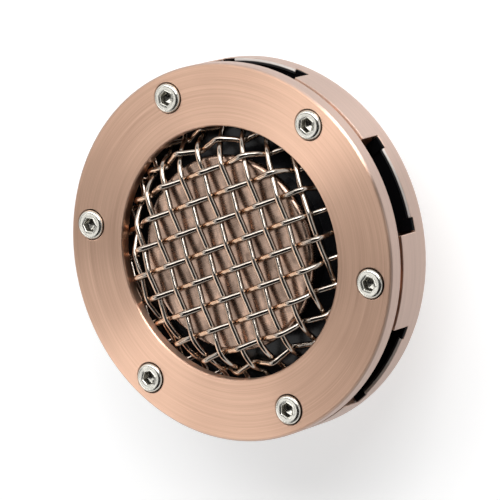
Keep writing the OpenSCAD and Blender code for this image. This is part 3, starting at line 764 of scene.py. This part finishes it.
def turned_copper(looks):
    """Antique copper finish brushed round the axis: fine light and dark marks, edges lightened as wear
    and painted highlight, and a paler tone on the round sides as painted sheen. The ledge along the
    slots is painted black as shade, with a painted highlight on its outer strip."""
    material, tree, shader = start_material("turned_copper")
    place = object_place(tree)
    fine = noise(tree, lathe_grain(tree, place, arc=1.5, across=7000))
    broad = noise(tree, lathe_grain(tree, place, arc=0.7, across=1800), roughness=0.5)
    patina = noise(tree, place, scale=60.0, detail=3.0, roughness=0.5)
    marks = weighted(tree, fine, broad, 0.65)
    share = spread(tree, marks, 0.34, 0.64, 0.35, 1.0)
    colour = mixed(tree, share, looks.copper_dark, looks.copper)
    colour = mixed(tree, spread(tree, patina, 0.35, 0.7, 0.0, 0.22), colour, looks.copper_dark)

    radius = axis_distance(tree, place)
    # Painted sheen: the round sides take a paler copper
    wall = spread(tree, radius, COVER_R - SIDE_FADE[0], COVER_R - SIDE_FADE[1], 0.0, 1.0)
    wall_sheen_colour = mixed(tree, share, toned(looks.wall_sheen_copper, 0.82), looks.wall_sheen_copper)
    colour = mixed(tree, wall, colour, wall_sheen_colour)

    # Edges are lightened: wear, and a painted highlight
    edge, rounded = edge_share(tree, 0.35 * MM, samples=6)
    edge_wear_and_highlight = toned(looks.copper, 1.12, 0.04)
    colour = mixed(tree, calc(tree, "MULTIPLY", edge, 0.4), colour, edge_wear_and_highlight)

    # The ledge: painted black as shade, with a painted highlight on its outer strip
    ledge = ledge_share(tree, radius, split(tree, place)[2])
    switch_share = spread(tree, radius, LEDGE_HIGHLIGHT_R - LEDGE_SOFT, LEDGE_HIGHLIGHT_R + LEDGE_SOFT, 0.0, 1.0)
    colour = mixed(tree, ledge, colour, mixed(tree, switch_share, looks.liner, looks.ledge))

    rough = looks.copper_roughness
    rough = spread(tree, marks, 0.3, 0.7, rough + 0.04, rough - 0.04)
    rougher = calc(tree, "MULTIPLY", calc(tree, "MAXIMUM", edge, ledge), 0.15)
    set_inputs(tree, shader, {
        "Base Color": colour,
        "Roughness": calc(tree, "ADD", rough, rougher),
        "Metallic": calc(tree, "SUBTRACT", 1.0, calc(tree, "MULTIPLY", ledge, 0.5)),
        "Anisotropic": 0.95,
        "Tangent": round_tangent(tree, place),
        "Normal": bumped(tree, marks, 0.13, 0.01 * MM, rounded),
    })
    return material


def straight_copper(looks, grain_angle):
    """The same copper brushed in straight lines along one direction of the mesh, with dull stains and
    brighter places of wear. Its copper is darker, partly as painted shade under the mesh, and its
    rounded edge is lightened as wear and painted highlight."""
    material, tree, shader = start_material("straight_copper")
    values = {"Vector": object_place(tree), "Rotation": (0.0, 0.0, -grain_angle)}
    place = add(tree, "ShaderNodeMapping", values).outputs[0]
    fine = noise(tree, stretched(tree, place, (60, 6000, 900)))
    broad = noise(tree, stretched(tree, place, (25, 700, 200)), detail=3.0, roughness=0.55)
    blotches = noise(tree, stretched(tree, place, (330, 150, 300)), detail=3.0)
    marks = weighted(tree, fine, broad, 0.6)
    share = spread(tree, marks, 0.34, 0.64, 0.2, 1.0)
    colour = mixed(tree, share, looks.shaded_disc_copper_dark, looks.shaded_disc_copper)
    stain = toned(looks.shaded_disc_copper_dark, 0.5)
    colour = mixed(tree, spread(tree, blotches, 0.50, 0.64, 0.0, 0.75), colour, stain)
    colour = mixed(tree, spread(tree, blotches, 0.46, 0.34, 0.0, 0.6), colour, looks.copper)
    # The rounded edge is lightened towards the ring's copper below: wear, and a painted highlight
    edge, rounded = edge_share(tree, 0.9 * MM, samples=12)
    rough = looks.disc_roughness
    set_inputs(tree, shader, {
        "Base Color": mixed(tree, calc(tree, "MULTIPLY", edge, 0.8), colour, looks.copper),
        "Roughness": spread(tree, marks, 0.3, 0.7, rough + 0.04, rough - 0.06),
        "Metallic": 1.0,
        "Normal": bumped(tree, marks, 0.05, 0.012 * MM, rounded),
    })
    return material


def drawn_wire(name, colour, shade, roughness, reflection_tint=None):
    """Drawn wire: streaks along the wire, fine all round it, and slow changes of tone. A reflection
    tint, where given, is painted on the side of the wire that faces -X, as a painted reflection of the
    copper disc."""
    material, tree, shader = start_material(name)
    grain = attribute(tree, "grain", "Vector")
    streaks = noise(tree, stretched(tree, grain, (220, 5200, 5200)), roughness=0.55)
    tone = noise(tree, stretched(tree, grain, (160, 300, 300)), roughness=0.5)
    blend = weighted(tree, streaks, tone, 0.55)
    base = mixed(tree, spread(tree, blend, 0.34, 0.62, 0.0, 1.0), shade, colour)
    # Painted reflection: the copper tint covers the side of the wire that faces -X
    if reflection_tint:
        faces_plus_x = attribute(tree, "faces_plus_x", "Fac")
        switch_share = calc(tree, "ADD", faces_plus_x, spread(tree, tone, 0.3, 0.7, -0.05, 0.05))
        base = mixed(tree, spread(tree, switch_share, 0.34, 0.50, 0.0, 1.0), reflection_tint, base)
    set_inputs(tree, shader, {
        "Base Color": base,
        "Roughness": spread(tree, streaks, 0.3, 0.7, roughness + 0.02, roughness - 0.02),
        "Metallic": 1.0,
        "Normal": bumped(tree, streaks, 0.03, 0.005 * MM),
    })
    return material


def screw_grime_and_shade(tree, place):
    """How much grime and painted shade a point of a screw has, from its place in the screw's own axes:
    much down in the gap round the head and some in the socket."""
    radius = axis_distance(tree, place)
    lowest = -SCREW_LENGTH - SCREW_TIP_MARGIN
    height = calc(tree, "WRAP", split(tree, place)[2], SCREW_GRAIN_STEP - SCREW_LENGTH, lowest)
    gap = spread(tree, height, *GAP_GRIME_AND_SHADE_Z, 0.95, 0.0)
    gap = calc(tree, "MULTIPLY", gap, spread(tree, radius, *GAP_GRIME_AND_SHADE_R, 0.0, 1.0))
    socket = spread(tree, height, *SOCKET_GRIME_AND_SHADE_Z, 0.5, 0.05)
    socket = calc(tree, "MULTIPLY", socket, spread(tree, radius, *SOCKET_GRIME_AND_SHADE_R, 1.0, 0.0))
    deep = spread(tree, height, *SOCKET_MOUTH_Z, 1.0, 0.0)
    return calc(tree, "MAXIMUM", gap, calc(tree, "MULTIPLY", socket, deep))


def stainless_steel(name, looks, from_grain):
    """Stainless steel with turning marks. Screws read them in their own axes, other pieces round Z.
    Screws also get grime and painted shade in the gap round the head and in the socket.
    """
    material, tree, shader = start_material(name)
    place = attribute(tree, "grain", "Vector") if from_grain else object_place(tree)
    fine = noise(tree, lathe_grain(tree, place, arc=1.6, across=7000))
    cloud = noise(tree, place, scale=700.0, detail=3.0, roughness=0.5)
    tone = weighted(tree, fine, cloud, 0.6)
    shade = toned(looks.stainless, 0.72)
    colour = mixed(tree, spread(tree, tone, 0.35, 0.62, 0.0, 1.0), shade, looks.stainless)
    if from_grain:
        # Grime and painted shade in the gap round the head and in the socket
        colour = mixed(tree, screw_grime_and_shade(tree, place), colour, SCREW_GRIME_AND_SHADE)
    set_inputs(tree, shader, {
        "Base Color": colour,
        "Roughness": spread(tree, tone, 0.3, 0.7, 0.30, 0.18),
        "Metallic": 1.0,
        "Normal": bumped(tree, fine, 0.2, 0.01 * MM),
    })
    return material


def gloss_liner(looks):
    """Glossy black: an even dark coat with a faint orange peel and fine dust in its roughness. Further
    out, where the slots look in, it is dull and painted darker, as shade."""
    material, tree, shader = start_material("gloss_liner")
    place = object_place(tree)
    peel = noise(tree, place, scale=900.0, roughness=0.5)
    dust = noise(tree, place, scale=2600.0, detail=3.0)
    outer = spread(tree, axis_distance(tree, place), *LINER_FADE_R, 0.0, 1.0)
    dusty = toned(looks.liner, 1.0, 0.012)
    colour = mixed(tree, spread(tree, dust, 0.5, 0.75, 0.0, 1.0), looks.liner, dusty)
    rounded = edge_share(tree, 0.2 * MM, samples=4)[1]
    set_inputs(tree, shader, {
        # Further out the black is painted darker, as shade where the slots look in
        "Base Color": mixed(tree, outer, colour, toned(looks.liner, 0.25)),
        "Roughness": spread(tree, dust, 0.35, 0.75, 0.12, 0.22),
        "Specular IOR Level": spread(tree, outer, 0.0, 1.0, 0.3, 0.04),
        "Normal": bumped(tree, peel, 0.2, 0.03 * MM, rounded),
    })
    return material


def moulded_plastic(looks):
    """Black moulded plastic with a fine spark-eroded grain and paler rubbed edges."""
    material, tree, shader = start_material("moulded_plastic")
    place = object_place(tree)
    grain = noise(tree, place, scale=4200.0)
    flow = noise(tree, stretched(tree, place, (90, 90, 300)), detail=3.0, roughness=0.5)
    tone = weighted(tree, grain, flow, 0.4)
    pale = toned(looks.plastic, 1.9, 0.006)
    colour = mixed(tree, spread(tree, tone, 0.4, 0.7, 0.0, 1.0), looks.plastic, pale)
    edge, rounded = edge_share(tree, 0.3 * MM, samples=4)
    set_inputs(tree, shader, {
        "Base Color": mixed(tree, calc(tree, "MULTIPLY", edge, 0.5), colour, toned(pale, 3.0)),
        "Roughness": spread(tree, tone, 0.35, 0.7, 0.42, 0.58),
        "Normal": bumped(tree, grain, 0.4, 0.03 * MM, rounded),
    })
    return material


def seal_rubber(looks):
    """Matte rubber with a powdery bloom and small pits."""
    material, tree, shader = start_material("seal_rubber")
    place = object_place(tree)
    bloom = noise(tree, place, scale=220.0, detail=4.0)
    pits = noise(tree, place, scale=3800.0)
    pale = toned(looks.rubber, 2.2, 0.01)
    rounded = edge_share(tree, 0.25 * MM, samples=4)[1]
    set_inputs(tree, shader, {
        "Base Color": mixed(tree, spread(tree, bloom, 0.4, 0.72, 0.0, 1.0), looks.rubber, pale),
        "Roughness": spread(tree, bloom, 0.35, 0.7, 0.62, 0.8),
        "Specular IOR Level": 0.35,
        "Normal": bumped(tree, pits, 0.35, 0.03 * MM, rounded),
    })
    return material


def machined_brass(looks):
    """Brass turned on a lathe, a little darkened between the marks."""
    material, tree, shader = start_material("machined_brass")
    place = object_place(tree)
    fine = noise(tree, lathe_grain(tree, place, arc=1.4, across=6000))
    tarnish = noise(tree, place, scale=240.0, detail=3.0, roughness=0.55)
    tone = weighted(tree, fine, tarnish, 0.55)
    shade = toned(looks.brass, 0.62)
    set_inputs(tree, shader, {
        "Base Color": mixed(tree, spread(tree, tone, 0.36, 0.62, 0.0, 1.0), shade, looks.brass),
        "Roughness": spread(tree, tone, 0.3, 0.7, 0.40, 0.26),
        "Metallic": 1.0,
        "Normal": bumped(tree, fine, 0.3, 0.01 * MM),
    })
    return material


def paint(obj, material):
    """Gives an object one finish."""
    if obj.data.materials:
        for slot in obj.material_slots:
            slot.material = material
    else:
        obj.data.materials.append(material)


def declare(piece, body, node, material):
    """Gives a new piece its finish, hangs it on the body that it rides on and hides the solid that it
    stands for.
    """
    paint(piece, material)
    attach(piece, body)
    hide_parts(node)


# Operators


class TANKCAP_OT_weave(bpy.types.Operator):
    """Weaves the domed wire mesh"""

    bl_idname = "tankcap.weave"
    bl_label = "Wire Mesh"
    bl_options = {"REGISTER", "UNDO"}

    def execute(self, context):
        sizes = context.scene.tank_cap_sizes
        looks = context.scene.tank_cap_finishes
        parts, grain, faces_plus_x = weave_wires(sizes)
        piece = put_mesh("woven_wires", parts, grain, faces_plus_x)
        steel = drawn_wire("mesh_wire", looks.wire, toned(looks.wire, 0.8), 0.17, looks.wire_reflection_tint)
        declare(piece, "cap", "mesh_grille", steel)
        return {"FINISHED"}


class TANKCAP_OT_screws(bpy.types.Operator):
    """Makes the six socket head screws of the front ring"""

    bl_idname = "tankcap.screws"
    bl_label = "Ring Screws"
    bl_options = {"REGISTER", "UNDO"}

    def execute(self, context):
        sizes = context.scene.tank_cap_sizes
        looks = context.scene.tank_cap_finishes
        parts, grain = socket_screws(sizes)
        piece = put_mesh("socket_screws", parts, grain)
        steel = stainless_steel("screw_steel", looks, True)
        declare(piece, "cap", "ring_screws", steel)
        return {"FINISHED"}


class TANKCAP_OT_springs(bpy.types.Operator):
    """Winds the two springs of the vent valve"""

    bl_idname = "tankcap.springs"
    bl_label = "Valve Springs"
    bl_options = {"REGISTER", "UNDO"}

    def execute(self, context):
        looks = context.scene.tank_cap_finishes
        steel = drawn_wire("spring_steel", looks.spring, toned(looks.spring, 0.6), 0.3)
        parts, grain = coil(
            radius=8.0 * MM, wire_radius=0.5 * MM, ends_z=RELIEF_ENDS_Z,
            turns=4.5, flat_turns=0.4, per_turn=64, sides=16,
        )
        relief = put_mesh("relief_coil", parts, grain)
        declare(relief, "cap", "relief_spring", steel)
        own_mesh(relief)
        parts, grain = coil(
            radius=1.95 * MM, wire_radius=0.25 * MM, ends_z=VACUUM_ENDS_Z,
            turns=3.0, flat_turns=0.3, per_turn=48, sides=12,
        )
        vacuum = put_mesh("vacuum_coil", parts, grain)
        declare(vacuum, "relief_valve", "vacuum_spring", steel)
        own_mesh(vacuum)
        return {"FINISHED"}


class TANKCAP_OT_finishes(bpy.types.Operator):
    """Gives the solids of the cap their finishes"""

    bl_idname = "tankcap.finishes"
    bl_label = "Finishes"
    bl_options = {"REGISTER", "UNDO"}

    def execute(self, context):
        looks = context.scene.tank_cap_finishes
        sizes = context.scene.tank_cap_sizes
        copper = turned_copper(looks)
        shaded_disc_copper = straight_copper(looks, sizes.mesh_turn)
        steel = stainless_steel("small_steel", looks, False)
        plastic = moulded_plastic(looks)
        rubber = seal_rubber(looks)
        finish_of = {
            "front_ring": copper, "rear_housing": copper, "centre_disc": shaded_disc_copper,
            "disc_nut": steel, "disc_washer": steel, "neck_screws": steel, "poppet_clip": steel,
            "liner": gloss_liner(looks),
            "neck_plug": plastic, "splash_baffle": plastic,
            "spring_bridge": plastic, "vacuum_poppet": plastic,
            "neck_gasket": rubber, "spigot_seal": rubber, "relief_seal": rubber,
            "relief_plate": machined_brass(looks),
        }
        for name, material in finish_of.items():
            paint(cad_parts[name], material)
        return {"FINISHED"}


# Stage


def backdrop_mesh():
    """The floor and its backdrop as one turned profile: a flat disc, a quarter round and a wall."""
    flat = np.linspace(0.0, FLOOR_R, BACKDROP_ROWS)[1:]
    bend = np.linspace(0, math.pi / 2, BACKDROP_ROWS)[1:]
    profile = np.concatenate([
        np.column_stack([flat, np.zeros(len(flat))]),
        np.column_stack([FLOOR_R + BEND_R * np.sin(bend), BEND_R * (1 - np.cos(bend))]),
        [[FLOOR_R + BEND_R, BEND_R + BACK_WALL_H]],
    ])
    columns = BACKDROP_SIDES
    angle = np.arange(columns) * math.tau / columns
    points = np.stack([
        profile[:, 0, None] * np.cos(angle), profile[:, 0, None] * np.sin(angle),
        np.broadcast_to(profile[:, 1, None], (len(profile), columns)) - FLOOR_DROP,
    ], axis=-1).reshape(-1, 3)
    quads = quad_strip(len(profile), columns)[:, ::-1]
    j = np.arange(columns)
    middle = len(points)
    fan = np.stack([np.full(columns, middle), j, (j + 1) % columns], axis=-1)
    points = np.concatenate([points, [[0, 0, -FLOOR_DROP]]])
    mesh = bpy.data.meshes.new("backdrop")
    mesh.from_pydata(points.tolist(), [], quads.tolist() + fan.tolist())
    mesh.polygons.foreach_set("use_smooth", np.ones(len(mesh.polygons), dtype=bool))
    mesh.update()
    return mesh


def backdrop_material(stage):
    """White paper that keeps the shadow. Seen by the camera and in reflections it also glows a little,
    so that it comes out white there, and far from the cap it glows as bright as white."""
    material, tree = empty_material("backdrop_paper")
    place = object_place(tree)
    fibre = noise(tree, place, scale=400.0, detail=3.0)
    path = add(tree, "ShaderNodeLightPath")
    seen = calc(tree, "MAXIMUM", path.outputs["Is Camera Ray"], path.outputs["Is Glossy Ray"])
    seen = calc(tree, "MAXIMUM", seen, path.outputs["Is Transmission Ray"])
    paper_colour = mixed(tree, fibre, toned(stage.backdrop, 0.985), stage.backdrop)
    colour = mixed(tree, seen, paper_colour, toned(stage.backdrop, SEEN_SHARE))
    paper = add(tree, "ShaderNodeBsdfDiffuse", {"Color": colour}).outputs[0]
    bright = spread(tree, axis_distance(tree, place), *GLOW_DISTANCES, *GLOW_STRENGTHS)
    strength = calc(tree, "MULTIPLY", seen, bright)
    glow = add(tree, "ShaderNodeEmission", {"Strength": strength}).outputs[0]
    total = add(tree, "ShaderNodeAddShader", {0: paper, 1: glow}).outputs[0]
    add(tree, "ShaderNodeOutputMaterial", {"Surface": total})
    return material


def place_camera(stage):
    """The camera looks along the Z axis turned by three angles: about Z, then leaning, then rolled."""
    turn = Matrix.Rotation(stage.camera_turn, 3, "Z")
    lean = Matrix.Rotation(-stage.camera_lean, 3, "Y")
    roll = Matrix.Rotation(stage.camera_roll, 3, "Z")
    to_camera = roll @ lean @ turn
    to_object = to_camera.transposed()
    data = bpy.data.cameras.new("photo_camera")
    data.sensor_width = 36.0
    data.lens = stage.camera_lens
    data.clip_start = 0.05
    data.clip_end = 20.0
    data.dof.use_dof = False
    camera = bpy.data.objects.new("photo_camera", data)
    bpy.context.scene.collection.objects.link(camera)
    place = to_object @ Vector(stage.camera_offset) + Vector((0, 0, FACE_Z))
    camera.matrix_world = Matrix.Translation(place) @ to_object.to_4x4()
    bpy.context.scene.camera = camera


def softbox(name, direction, size, radiance, gloss_only=False):
    """An area light in one direction from the cap, turned to face it. Direction is the azimuth from +X
    towards +Y and the elevation, in degrees, and size is width and height. Radiance is how bright its
    surface is, next to a white of 1. With gloss_only it shows in reflections alone, and throws no
    diffuse light."""
    width, height = size
    data = bpy.data.lights.new(name, "AREA")
    data.shape = "RECTANGLE"
    data.size = width
    data.size_y = height
    data.energy = radiance * math.pi * width * height
    lamp = bpy.data.objects.new(name, data)
    lamp.visible_diffuse = not gloss_only
    bpy.context.scene.collection.objects.link(lamp)
    azimuth, elevation = (math.radians(degrees) for degrees in direction)
    level = math.cos(elevation)
    heading = Vector((level * math.cos(azimuth), level * math.sin(azimuth), math.sin(elevation)))
    lamp.location = Vector(LIGHT_TARGET) + heading * LIGHT_DISTANCE
    lamp.rotation_euler = (-heading).to_track_quat("-Z", "Y").to_euler()


class TANKCAP_OT_stage(bpy.types.Operator):
    """Sets up the floor, the lights, the room light and the camera"""

    bl_idname = "tankcap.stage"
    bl_label = "Stage"
    bl_options = {"REGISTER", "UNDO"}

    def execute(self, context):
        stage = context.scene.tank_cap_stage
        floor = bpy.data.objects.new("backdrop", backdrop_mesh())
        context.scene.collection.objects.link(floor)
        floor.data.materials.append(backdrop_material(stage))

        world = bpy.data.worlds.new("room")
        context.scene.world = world
        world.use_nodes = True
        back = world.node_tree.nodes["Background"]
        back.inputs["Color"].default_value = (1.0, 1.0, 1.0, 1.0)
        back.inputs["Strength"].default_value = stage.room_light

        key, card, side = stage.key_light, stage.card_light, stage.side_light
        softbox("key_wide", (72, 51), (1.3, 0.36), radiance=4.2 * key)
        softbox("key_core", (72, 51), (0.6, 0.5), radiance=3.5 * key)
        softbox("mirrored_card", (180, 58), (0.5, 0.5), radiance=1.2 * card, gloss_only=True)
        softbox("upper_card", (148, 40), (0.4, 0.4), radiance=1.0 * card, gloss_only=True)
        softbox("left_card", (123, 35), (0.4, 0.3), radiance=1.7 * card)
        softbox("low_card", (190, 30), (0.4, 0.3), radiance=2.0 * side, gloss_only=True)
        softbox("lower_card", (212, 41), (0.3, 0.3), radiance=1.4 * side, gloss_only=True)
        softbox("low_side", (40, 38), (0.5, 0.4), radiance=7.2 * side)
        softbox("edge_card", (-8, 30), (0.3, 0.25), radiance=1.0 * side, gloss_only=True)
        place_camera(stage)
        context.scene.view_settings.view_transform = "Standard"
        return {"FINISHED"}


# Panel and registration


class TANKCAP_PT_panel(bpy.types.Panel):
    """Buttons and values of the tank cap"""

    bl_idname = "TANKCAP_PT_panel"
    bl_label = "Tank Cap"
    bl_space_type = "VIEW_3D"
    bl_region_type = "UI"
    bl_category = "Tank Cap"

    def draw(self, context):
        layout = self.layout
        for operator in OPERATORS:
            layout.operator(operator.bl_idname)
        scene = context.scene
        for group in (scene.tank_cap_sizes, scene.tank_cap_finishes, scene.tank_cap_stage):
            box = layout.box()
            for name in group.__annotations__:
                box.prop(group, name)


OPERATORS = (
    TANKCAP_OT_weave, TANKCAP_OT_screws, TANKCAP_OT_springs, TANKCAP_OT_finishes, TANKCAP_OT_stage,
)
CLASSES = (TankCapSizes, TankCapFinishes, TankCapStage, *OPERATORS, TANKCAP_PT_panel)


def register():
    for cls in CLASSES:
        bpy.utils.register_class(cls)
    bpy.types.Scene.tank_cap_sizes = PointerProperty(type=TankCapSizes)
    bpy.types.Scene.tank_cap_finishes = PointerProperty(type=TankCapFinishes)
    bpy.types.Scene.tank_cap_stage = PointerProperty(type=TankCapStage)


def unregister():
    del bpy.types.Scene.tank_cap_stage
    del bpy.types.Scene.tank_cap_finishes
    del bpy.types.Scene.tank_cap_sizes
    for cls in reversed(CLASSES):
        bpy.utils.unregister_class(cls)


def main():
    register()
    bpy.ops.tankcap.weave()
    bpy.ops.tankcap.screws()
    bpy.ops.tankcap.springs()
    bpy.ops.tankcap.finishes()
    bpy.ops.tankcap.stage()


if __name__ == "__main__":
    main()
